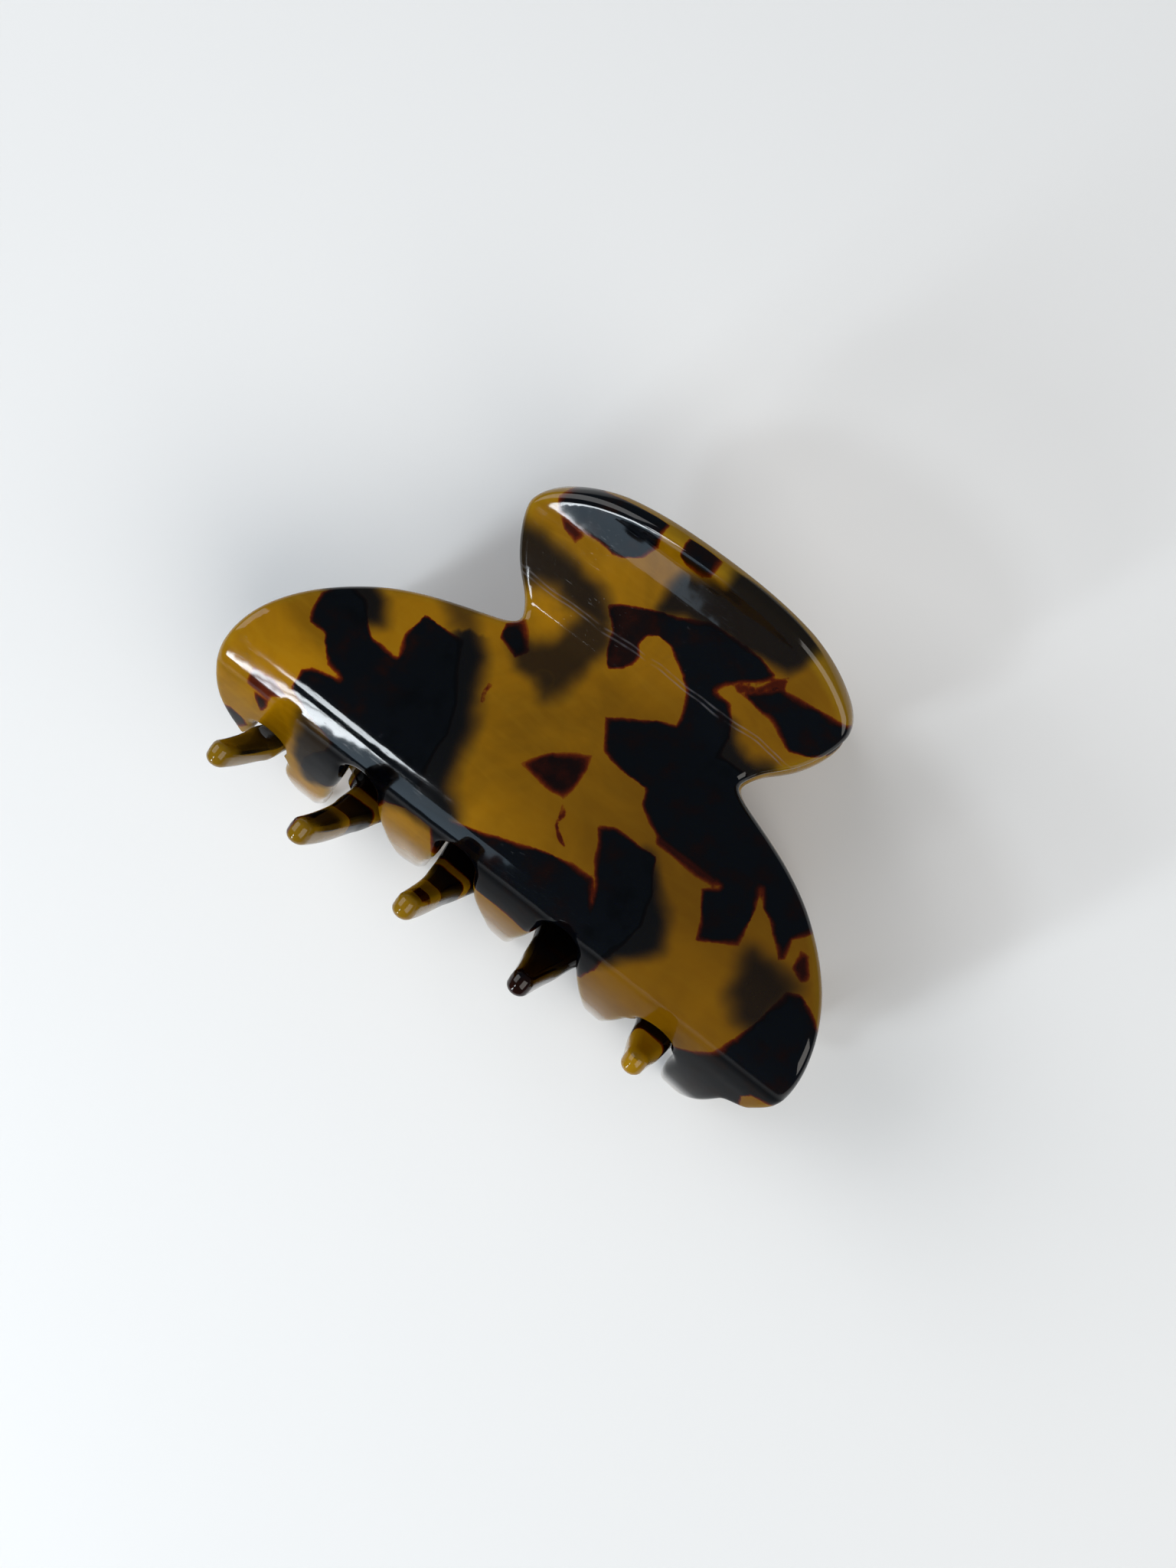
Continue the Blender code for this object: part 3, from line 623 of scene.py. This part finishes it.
def sheet_mesh(name, knots):
    """A flat sheet with rounded rims, as points (across, along, depth), faces and rim distances."""
    outline = outline_points(knots, RIM_SPACING)
    inward, reach = inward_offsets(outline)
    count = len(outline)
    inner = outline + inward * reach[:, None]
    grid = staggered_grid(inner)
    flat = [Vector(point) for point in np.concatenate((inner, grid))]
    loop = [list(range(count))]
    verts, _, faces, origins, _, _ = delaunay_2d_cdt(flat, [], loop, 1, CLEANUP)
    if len(verts) != len(flat):
        raise ValueError(f"{name}: the rim's inner loop crosses itself")
    order = [ids[0] for ids in origins]
    face_ids = [[order[i] for i in face] for face in faces]

    points = []
    edge_distance = []
    angles = [pi / 2 * step / RIM_STEPS for step in range(-RIM_STEPS, RIM_STEPS + 1)]
    for angle in angles:
        move = reach * (1 - cos(angle))
        depth = SHEET / 2 - np.sign(angle) * (SHEET / 2 - RIM_ROUND) - RIM_ROUND * sin(angle)
        ring = outline + inward * move[:, None]
        points.append(np.column_stack((ring, np.full(count, depth))))
        edge_distance.append(move)
    rings = len(angles)
    all_faces = []
    for base in range(0, (rings - 1) * count, count):
        for i in range(count):
            j = (i + 1) % count
            all_faces.append((base + i, base + j, base + count + j, base + count + i))
    last_ring = (rings - 1) * count
    back_start = rings * count
    front_start = back_start + len(grid)
    points.append(np.column_stack((grid, np.full(len(grid), SHEET))))
    points.append(np.column_stack((grid, np.zeros(len(grid)))))
    grid_distance = -outline_distance(grid, outline)
    edge_distance += [grid_distance, grid_distance]
    for face in face_ids:
        back = [i if i < count else back_start + i - count for i in face]
        front = [last_ring + i if i < count else front_start + i - count for i in face]
        all_faces.append(tuple(reversed(back)))
        all_faces.append(tuple(front))
    return np.concatenate(points), all_faces, np.concatenate(edge_distance)


def scattered(rng, count, size_range, strength_range, soft_range):
    """Chips of random shape and place over the whole sheet."""
    chips = []
    for _ in range(count):
        centre = np.array((rng.uniform(*SCATTER_ACROSS), rng.uniform(*SCATTER_ALONG)))
        corners = rng.integers(*SCATTER_CORNERS)
        size = rng.uniform(*size_range)
        stretch = rng.uniform(*SCATTER_STRETCH)
        turn = rng.uniform(0, tau)
        outline = []
        for corner in range(corners):
            angle = tau * (corner + rng.uniform(*SCATTER_CORNER_SHIFT)) / corners
            reach = size * rng.uniform(*SCATTER_REACH)
            x = reach * cos(angle)
            y = reach * stretch * sin(angle)
            outline.append(centre + (x * cos(turn) - y * sin(turn), x * sin(turn) + y * cos(turn)))
        chips.append((outline, rng.uniform(*strength_range), rng.uniform(*soft_range)))
    return chips


def above(chips, limit):
    """The chips that lie wholly above a place down the sheet."""
    return [chip for chip in chips if max(corner[1] for corner in chip[0]) < limit]


def chip_fields(points, chips):
    """Each point's distance from the nearest chip, and that chip's strength and fringe width."""
    nearest = np.full(len(points), FAR_AWAY)
    strength = np.ones(len(points))
    fringe = np.ones(len(points))
    for outline, chip_strength, width in chips:
        distance = outline_distance(points, np.array(outline, float))
        # A weaker chip never hides a stronger one that it overlaps
        better = np.minimum(distance, 0) * chip_strength + np.maximum(distance, 0)
        current = np.minimum(nearest, 0) * strength + np.maximum(nearest, 0)
        closer = better < current
        nearest = np.where(closer, distance, nearest)
        strength = np.where(closer, chip_strength, strength)
        fringe = np.where(closer, width, fringe)
    return nearest, strength, fringe


def keep_inside(mesh):
    """Presses in the few points where the smooth bends pass the CAD's faceted ones at its box."""
    spots = np.empty(3 * len(mesh.vertices))
    mesh.vertices.foreach_get("co", spots)
    low, high = (np.array(corner) for corner in CAD_BOX)
    spots = np.clip(spots.reshape(-1, 3), low + BOX_MARGIN, high - BOX_MARGIN)
    mesh.vertices.foreach_set("co", spots.ravel())


def jaw_piece(name, body, teeth, left_gap, corner, place, front_chips, back_chips, material):
    """One jaw's polished sheet, with the flat coordinates and the chips stored on its points.

    front_chips and back_chips are each (crisp chips, clouds), for the outer and the inner face.
    """
    right = side_knots()
    comb = comb_knots(teeth, left_gap, corner)
    knots = [knot(0, TAB_END, 0, TAB_TOP_HANDLE, TAB_TOP_HANDLE)] + right + comb + mirrored(right)
    sheet, faces, edge_distance = sheet_mesh(name, knots)
    mesh = bpy.data.meshes.new(name)
    mesh.from_pydata(bent(STATIONS, sheet, teeth).tolist(), [], faces)
    mesh.transform(place)
    keep_inside(mesh)
    mesh.shade_smooth()
    mesh.materials.append(material)

    is_front = sheet[:, 2] < SHEET * FRONT_SHARE
    values = {"rim_distance": edge_distance}
    kinds = (
        ("chip_distance", "chip_strength", "chip_fringe"),
        ("cloud_distance", "cloud_strength", "cloud_blur"),
    )
    for names, front, back in zip(kinds, front_chips, back_chips):
        fields = zip(chip_fields(sheet[:, :2], front), chip_fields(sheet[:, :2], back))
        for key, (front_value, back_value) in zip(names, fields):
            values[key] = np.where(is_front, front_value, back_value)
    for key, value in values.items():
        field = mesh.attributes.new(key, "FLOAT", "POINT")
        field.data.foreach_set("value", value.astype(np.float32))
    field = mesh.attributes.new("sheet", "FLOAT_VECTOR", "POINT")
    field.data.foreach_set("vector", sheet.astype(np.float32).ravel())
    piece = bpy.data.objects.new(name, mesh)
    bpy.context.scene.collection.objects.link(piece)
    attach(piece, body)
    return piece


class Nodes:
    """Short calls for building one material's nodes."""

    def __init__(self, name):
        self.material = bpy.data.materials.new(name)
        self.material.use_nodes = True
        self.tree = self.material.node_tree
        self.shader = self.tree.nodes["Principled BSDF"]

    def add(self, kind, inputs, output=0, **settings):
        node = self.tree.nodes.new(kind)
        for key, value in settings.items():
            setattr(node, key, value)
        for key, value in inputs.items():
            if isinstance(value, bpy.types.NodeSocket):
                self.tree.links.new(value, node.inputs[key])
            else:
                node.inputs[key].default_value = value
        return node.outputs[output]

    def field(self, name):
        return self.add("ShaderNodeAttribute", {}, "Fac", attribute_name=name)

    def math(self, operation, a, b=0.0, c=0.0):
        return self.add("ShaderNodeMath", {0: a, 1: b, 2: c}, operation=operation)

    def noise(self, vector, scale, detail=3.0, roughness=0.55, distortion=0.0):
        inputs = {"Vector": vector, "Scale": scale, "Detail": detail, "Roughness": roughness}
        return self.add("ShaderNodeTexNoise", {**inputs, "Distortion": distortion}, "Fac")

    def stretched(self, vector, scale, rotation=(0, 0, 0)):
        inputs = {"Vector": vector, "Scale": scale, "Rotation": rotation}
        return self.add("ShaderNodeMapping", inputs)

    def spread(self, value, low, high, to_low=0.0, to_high=1.0, smooth=False):
        source = {"Value": value, "From Min": low, "From Max": high}
        target = {"To Min": to_low, "To Max": to_high}
        kind = "SMOOTHSTEP" if smooth else "LINEAR"
        return self.add("ShaderNodeMapRange", {**source, **target}, interpolation_type=kind)

    def fade(self, value, low, high, to_low=0.0, to_high=1.0):
        return self.spread(value, low, high, to_low, to_high, smooth=True)

    def mix(self, share, a, b, blend="MIX"):
        node = self.tree.nodes.new("ShaderNodeMix")
        node.data_type = "RGBA"
        node.blend_type = blend
        for key, value in (("Factor_Float", share), ("A_Color", a), ("B_Color", b)):
            socket = next(i for i in node.inputs if i.identifier == key)
            if isinstance(value, bpy.types.NodeSocket):
                self.tree.links.new(value, socket)
            else:
                socket.default_value = value
        return next(o for o in node.outputs if o.identifier == "Result_Color")

    def ramp(self, value, stops):
        node = self.tree.nodes.new("ShaderNodeValToRGB")
        self.tree.links.new(value, node.inputs[0])
        elements = node.color_ramp.elements
        while len(elements) < len(stops):
            elements.new(0.5)
        for element, (position, colour) in zip(elements, stops):
            element.position = position
            element.color = (*colour, 1)
        return node.outputs[0]

    def bump(self, height, distance, strength=1.0):
        inputs = {"Strength": strength, "Distance": distance, "Height": height}
        return self.add("ShaderNodeBump", inputs, "Normal")

    def link(self, output, socket):
        self.tree.links.new(output, self.shader.inputs[socket])

    def set(self, **values):
        for key, value in values.items():
            self.shader.inputs[key.replace("_", " ")].default_value = value


def amber_colour(n, sheet, across):
    """Amber, cloudy and a little streaked, with painted shade towards the right and a painted glow at the rim."""
    clouds = n.noise(sheet, 0.07, detail=4.0, roughness=0.6, distortion=0.6)
    streak_place = n.stretched(sheet, STREAK_SCALE)
    streaks = n.noise(streak_place, 1.0, detail=4.0, roughness=0.6, distortion=1.2)
    amber = n.mix(n.fade(clouds, 0.35, 0.68), AMBER_SHADE, AMBER_LIGHT)
    amber = n.mix(n.spread(streaks, 0.45, 0.75, to_high=0.28), amber, AMBER_STREAK)
    # Painted shade: the amber darkens towards the right, as if less light fell there
    drift = n.math("MULTIPLY_ADD", n.noise(sheet, 0.05, detail=2.0), 16.0, -8.0)
    right_shade = n.fade(n.math("ADD", across, drift), *RIGHT_SHADE_SPAN, to_high=0.72)
    amber = n.mix(right_shade, amber, AMBER_RIGHT_SHADE_PAINT)
    # Painted glow: the amber is lighter near the rim, where light comes in through the rounded edge
    rim_glow = n.fade(n.field("rim_distance"), 0.0, RIM_GLOW_REACH, to_low=0.4, to_high=0.0)
    return n.mix(rim_glow, amber, AMBER_RIM_GLOW)


def with_clouds(n, sheet, amber):
    """Deep chips, blurred to olive-brown."""
    wobble = n.math("MULTIPLY_ADD", n.noise(sheet, 0.2, detail=1.5, roughness=0.5), 2.6, -1.3)
    distance = n.math("ADD", n.field("cloud_distance"), wobble)
    cloud = n.fade(n.math("DIVIDE", distance, n.field("cloud_blur")), 1.5, -0.8)
    clear = n.math("SUBTRACT", 1.0, n.math("MULTIPLY", cloud, n.field("cloud_strength")))
    return n.mix(n.math("MULTIPLY", clear, clear), CLOUD_DARK, amber)


def with_studs(n, across, down, colour):
    """Studs on the far side show as faint rings."""
    across = n.math("SUBTRACT", n.math("ABSOLUTE", across), STUD_X)
    along = n.math("SUBTRACT", down, STUD_ALONG)
    squares = n.math("ADD", n.math("MULTIPLY", across, across), n.math("MULTIPLY", along, along))
    off_ring = n.math("ABSOLUTE", n.math("SUBTRACT", n.math("SQRT", squares), STUD_RADIUS))
    return n.mix(n.fade(off_ring, 0.0, STUD_RING_FADE, to_low=0.22, to_high=0.0), colour, STUD_MARK)


def with_chips(n, sheet, colour):
    """Crisp chips, whose optical thickness grows from nothing at their edge."""
    coarse = n.math("MULTIPLY_ADD", n.noise(sheet, 0.45, detail=2.0, roughness=0.5), 0.5, -0.25)
    fine = n.math("MULTIPLY_ADD", n.noise(sheet, 2.2, detail=2.0, roughness=0.6), 0.22, -0.11)
    distance = n.math("ADD", n.math("ADD", n.field("chip_distance"), coarse), fine)
    edge_wander = n.spread(n.noise(sheet, 0.16), 0.35, 0.65, to_low=0.5, to_high=2.2)
    edge_run = n.math("MULTIPLY", n.field("chip_fringe"), edge_wander)
    thickness = n.math("DIVIDE", n.math("MULTIPLY", distance, -1.0), edge_run)
    mottle = n.spread(n.noise(sheet, 0.3), 0.3, 0.7, to_low=0.75, to_high=1.1)
    limit = n.math("MULTIPLY", n.field("chip_strength"), mottle)
    thickness = n.math("MINIMUM", n.math("MAXIMUM", thickness, 0.0), limit)
    colour = n.mix(1.0, colour, n.ramp(thickness, CHIP_FILTER), "MULTIPLY")
    # The darkest chips are a bluish black rather than nothing
    return n.mix(n.fade(thickness, 0.7, 1.0), colour, CHIP_BLACK)


def with_painted_bend_sheen(n, sheet, down, colour):
    """A faint painted double highlight along the bend, standing in for the crease's reflection."""
    wander = n.noise(sheet, 0.09, detail=2.0)
    place = n.math("ADD", down, n.math("MULTIPLY_ADD", wander, BEND_WANDER, BEND_LINE))
    line = n.math("ABSOLUTE", n.math("SUBTRACT", n.math("ABSOLUTE", place), BEND_LINE_APART))
    line = n.fade(line, 0.0, BEND_LINE_FADE, to_low=0.3, to_high=0.0)
    line = n.math("MULTIPLY", line, n.spread(n.noise(sheet, 0.3, detail=2.0), 0.35, 0.6))
    return n.mix(line, colour, BEND_SHEEN_PAINT)


def add_polish(n, sheet, down):
    """Polish with faint waves, hairline scratches and a little haze, less glossy on the belly."""
    haze = n.noise(sheet, 0.12, detail=5.0, roughness=0.65)
    n.link(n.spread(haze, 0.35, 0.75, *ROUGHNESS), "Roughness")
    waves = n.math("MULTIPLY", n.noise(sheet, 0.16, detail=2.0, roughness=0.5), WAVE_HEIGHT)
    scratch_place = n.stretched(sheet, SCRATCH_SCALE, SCRATCH_TURN)
    scratches = n.fade(n.noise(scratch_place, 1.0, roughness=0.7), 0.62, 0.80)
    height = n.math("ADD", waves, n.math("MULTIPLY", scratches, -SCRATCH_DEPTH))
    n.link(n.bump(height, MM), "Normal")
    belly = n.fade(down, *BELLY_FADE, FLAT_SPECULAR, BELLY_SPECULAR)
    lobe = n.fade(down, *LOBE_FADE, 0.0, LOBE_SPECULAR)
    tooth = n.fade(down, *TOOTH_FADE, 0.0, TOOTH_SPECULAR)
    n.link(n.math("ADD", belly, n.math("ADD", lobe, tooth)), "Specular IOR Level")


def acetate_material():
    """Amber acetate with dark chips: crisp ones with red-brown edges, and blurred deep ones."""
    n = Nodes("tortoiseshell_acetate_look")
    sheet = n.add("ShaderNodeAttribute", {}, "Vector", attribute_name="sheet")
    across = n.add("ShaderNodeSeparateXYZ", {"Vector": sheet}, "X")
    down = n.add("ShaderNodeSeparateXYZ", {"Vector": sheet}, "Y")
    colour = with_clouds(n, sheet, amber_colour(n, sheet, across))
    colour = with_chips(n, sheet, with_studs(n, across, down, colour))
    n.link(with_painted_bend_sheen(n, sheet, down, colour), "Base Color")
    add_polish(n, sheet, down)
    n.set(
        IOR=ACETATE_IOR, Subsurface_Weight=SCATTER_SHARE,
        Subsurface_Radius=SCATTER_RADIUS, Subsurface_Scale=SCATTER_DEPTH,
    )
    return n.material


def steel_material(name, colour, roughness, grain_scale):
    """Plated or drawn steel: fine directional grain, duller patches and darker specks."""
    n = Nodes(name)
    place = n.add("ShaderNodeTexCoord", {}, "Object")
    grain = n.noise(n.stretched(place, grain_scale), 1.0, detail=4.0, roughness=0.6)
    patches = n.noise(place, STEEL_PATCH_SCALE, detail=4.0, roughness=0.6)
    specks = n.noise(place, STEEL_SPECK_SCALE, detail=2.0, roughness=0.5)
    dark = tuple(STEEL_SHADE * part for part in colour)
    tone = n.mix(n.spread(patches, 0.4, 0.7, to_high=0.5), (*colour, 1), (*dark, 1))
    tone = n.mix(n.math("MULTIPLY", n.fade(specks, 0.66, 0.74), 0.5), tone, STEEL_SPECK)
    n.link(tone, "Base Color")
    rough = n.math("ADD", n.math("MULTIPLY", grain, 0.12), n.spread(patches, 0.3, 0.7, *roughness))
    n.link(rough, "Roughness")
    n.link(n.bump(grain, STEEL_GRAIN_HEIGHT, strength=0.6), "Normal")
    n.set(Metallic=1.0)
    return n.material


def spring_path():
    """The wire's centre line, from the lower tab's foot round the coil to the upper tab's."""
    half = []
    steps = round(COIL_END_TURN / tau * POINTS_PER_TURN)
    for step in range(1, steps + 1):
        turn = COIL_END_TURN * step / steps
        out = COIL_HALF_LENGTH * step / steps
        half.append(Vector((out, COIL_RADIUS * cos(turn), COIL_RADIUS * sin(turn))))
    lean = Vector((0, cos(LEG_LEAN), sin(LEG_LEAN)))
    foot = Vector((1, 0, 0))
    leg_end = half[-1] + LEG_LENGTH * lean
    for step in range(CORNER_STEPS + 1):
        bend = step / CORNER_STEPS * pi / 2
        half.append(leg_end + FOOT_CORNER * (sin(bend) * lean + (1 - cos(bend)) * foot))
    half.append(half[-1] + FOOT_LENGTH * foot)
    other = [Vector((-point.x, point.y, -point.z)) for point in reversed(half)]
    return other + [Vector((0, COIL_RADIUS, 0))] + half


def tube_mesh(name, path, radius, sides, place):
    """A round wire along a path, with slightly domed ends."""
    verts = []
    normal = Vector((1, 0, 0))
    last = len(path) - 1
    for i, point in enumerate(path):
        tangent = (path[min(i + 1, last)] - path[max(i - 1, 0)]).normalized()
        normal = normal - normal.dot(tangent) * tangent
        if normal.length < LEAST_NORMAL:
            normal = tangent.orthogonal()
        normal.normalize()
        other = tangent.cross(normal)
        for side in range(sides):
            angle = tau * side / sides
            verts.append(point + radius * (cos(angle) * normal + sin(angle) * other))
    faces = []
    for base in range(0, last * sides, sides):
        for side in range(sides):
            following = (side + 1) % sides
            ahead = base + sides
            faces.append((base + side, base + following, ahead + following, ahead + side))
    ends = ((path[0], path[0] - path[1], 0), (path[-1], path[-1] - path[-2], last * sides))
    for end, direction, base in ends:
        verts.append(end + direction.normalized() * radius * WIRE_END_DOME)
        tip = len(verts) - 1
        for side in range(sides):
            pair = (base + side, base + (side + 1) % sides)
            faces.append((*(reversed(pair) if base == 0 else pair), tip))
    mesh = bpy.data.meshes.new(name)
    mesh.from_pydata([tuple(vert) for vert in verts], [], faces)
    mesh.transform(place)
    mesh.shade_smooth()
    return mesh


def spring_piece(place, material):
    """The torsion spring's wire at rest, as a single piece."""
    mesh = tube_mesh("spring_wire", spring_path(), WIRE_RADIUS, WIRE_SIDES, place)
    mesh.materials.append(material)
    piece = bpy.data.objects.new("spring_wire", mesh)
    bpy.context.scene.collection.objects.link(piece)
    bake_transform(piece)
    return piece


def soften_edges(node):
    """Rounds a stamped or turned CAD part's sharp edges a little."""
    bevel = node.modifiers.new("edge_round", "BEVEL")
    bevel.width = EDGE_ROUND
    bevel.segments = 2
    bevel.limit_method = "ANGLE"
    bevel.angle_limit = EDGE_ANGLE
    bevel.harden_normals = True


def floor_piece(lowest):
    """A pale table top, greyed far from the clip with painted shade."""
    corners = [(-1, -1), (1, -1), (1, 1), (-1, 1)]
    mesh = bpy.data.meshes.new("floor")
    mesh.from_pydata([(FLOOR_HALF * x, FLOOR_HALF * y, 0) for x, y in corners], [], [(0, 1, 2, 3)])
    n = Nodes("pale_table")
    place = n.add("ShaderNodeTexCoord", {}, "Object")
    pale = n.mix(n.spread(n.noise(place, 6.0, detail=4.0), 0.3, 0.7), *FLOOR_PALE)
    # Painted shade: the floor greys with distance from the clip, as if the light fell off
    away = n.add("ShaderNodeVectorMath", {0: place}, 1, operation="LENGTH")
    n.link(n.mix(n.fade(away, *FLOOR_SHADE_SPAN), pale, FLOOR_PAINTED_SHADE), "Base Color")
    n.set(Roughness=FLOOR_ROUGHNESS)
    mesh.materials.append(n.material)
    floor = bpy.data.objects.new("floor", mesh)
    floor.location.z = lowest - FLOOR_GAP
    bpy.context.scene.collection.objects.link(floor)


def soft_light(name, azimuth, elevation, distance, width, height, power, colour):
    """A rectangular soft box that faces the clip from a direction in degrees."""
    light = bpy.data.lights.new(name, "AREA")
    light.shape = "RECTANGLE"
    light.size = width
    light.size_y = height
    light.energy = power
    light.color = colour
    box = bpy.data.objects.new(name, light)
    level = cos(radians(elevation))
    azimuth = radians(azimuth)
    away = Vector((level * cos(azimuth), level * sin(azimuth), sin(radians(elevation))))
    box.location = Vector(TARGET) * MM + distance * away
    box.rotation_euler = away.to_track_quat("Z", "Y").to_euler()
    bpy.context.scene.collection.objects.link(box)


def add_camera():
    """The photograph's view."""
    data = bpy.data.cameras.new("camera")
    data.lens = CAMERA_LENS
    data.clip_start, data.clip_end = CAMERA_CLIP
    view = bpy.data.objects.new("camera", data)
    turn = Euler([radians(angle) for angle in CAMERA_TURN])
    view.rotation_euler = turn
    away = turn.to_matrix() @ Vector((0, 0, CAMERA_DISTANCE))
    view.location = (Vector(TARGET) + away) * MM
    bpy.context.scene.collection.objects.link(view)
    bpy.context.scene.camera = view


def add_world():
    """A dim bluish sky all round."""
    world = bpy.data.worlds.new("studio")
    bpy.context.scene.world = world
    world.use_nodes = True
    background = world.node_tree.nodes["Background"]
    background.inputs["Color"].default_value = WORLD_COLOUR
    background.inputs["Strength"].default_value = WORLD_STRENGTH


STATIONS = sheet_stations()
place = clip_frame()
acetate = acetate_material()
plate = steel_material("nickel_plate_look", *NICKEL)
drawn = steel_material("spring_wire_look", *SPRING_STEEL)

upper_rng = np.random.default_rng(UPPER_SEED)
upper_back = scattered(upper_rng, *BACK_CRISP), scattered(upper_rng, *SCATTER_CLOUDS)
upper = jaw_piece(
    "upper_jaw_shell", "upper_half", UPPER_TEETH, UPPER_LEFT_GAP, UPPER_CORNER, place,
    (UPPER_CHIPS, UPPER_CLOUDS), upper_back, acetate,
)
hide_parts("upper_jaw")

front_rng = np.random.default_rng(LOWER_FRONT_SEED)
front_crisp = above(scattered(front_rng, *LOWER_FRONT_CRISP), CRISP_LIMIT)
front_clouds = above(scattered(front_rng, *SCATTER_CLOUDS), CLOUD_LIMIT)
back_rng = np.random.default_rng(LOWER_SEED)
back_crisp = above(scattered(back_rng, *BACK_CRISP), CRISP_LIMIT)
back_clouds = scattered(back_rng, *SCATTER_CLOUDS)
lower = jaw_piece(
    "lower_jaw_shell", "lower_half", LOWER_TEETH, LOWER_LEFT_GAP, LOWER_CORNER,
    place @ Matrix.Rotation(pi, 4, "Y"), (front_crisp + LOWER_TOOTH_CHIPS_AND_SHADE, front_clouds),
    (back_crisp + LOWER_TOOTH_CHIPS_AND_SHADE, back_clouds), acetate,
)
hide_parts("lower_jaw")

spring = spring_piece(place, drawn)
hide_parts("torsion_spring")

for node in frame["nodes"].values():
    if node.hide_render:
        continue
    node.data.materials.clear()
    node.data.materials.append(plate)
    soften_edges(node)

floor_piece(CAD_BOX[0].z)
for light in LIGHTS:
    soft_light(*light)
add_camera()
add_world()
bpy.context.scene.view_settings.view_transform = "Standard"
